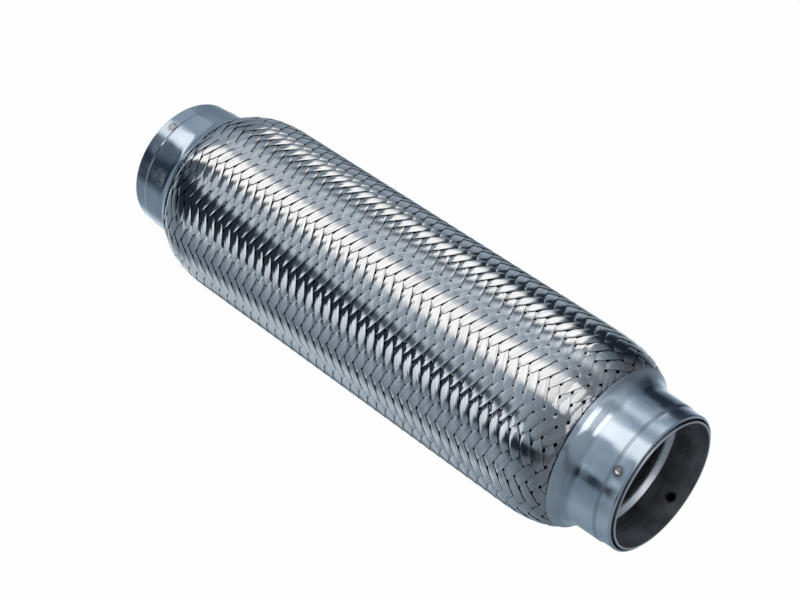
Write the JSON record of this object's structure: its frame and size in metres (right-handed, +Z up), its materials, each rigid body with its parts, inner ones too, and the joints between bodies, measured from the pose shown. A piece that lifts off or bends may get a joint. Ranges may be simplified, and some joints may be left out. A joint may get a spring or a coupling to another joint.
{
  "type": "exhaust flex pipe",
  "caption": "Flexible exhaust coupling: woven wire sleeve over a bellows with a strip liner, and a pressed cap and inner sleeve at each open end.",
  "frame": {"origin": "centre of the lower mouth, on the plane that the pipe stands on", "axes": "+Z up along the pipe's axis, out of the upper mouth; -Y towards the side that the picture shows"},
  "size_m": [0.0738, 0.0738, 0.254],
  "materials": {
    "braid_wire": "bright drawn stainless wire",
    "cap_steel": "pressed stainless sheet, satin with a blue-grey cast",
    "sleeve_steel": "brushed stainless sheet, darker inside",
    "weld_metal": "dished spot weld with a heat-tinted edge",
    "bellows_steel": "thin rolled stainless sheet",
    "liner_steel": "wound stainless strip, dull"
  },
  "bodies": {
    "root": {"outer_braid": "braid_wire", "upper_end_cap": "cap_steel", "lower_end_cap": "cap_steel", "upper_inner_sleeve": "sleeve_steel", "lower_inner_sleeve": "sleeve_steel", "upper_spot_welds": "weld_metal", "lower_spot_welds": "weld_metal", "bellows": "bellows_steel", "interlock_liner": "liner_steel"}
  },
  "joints": []
}
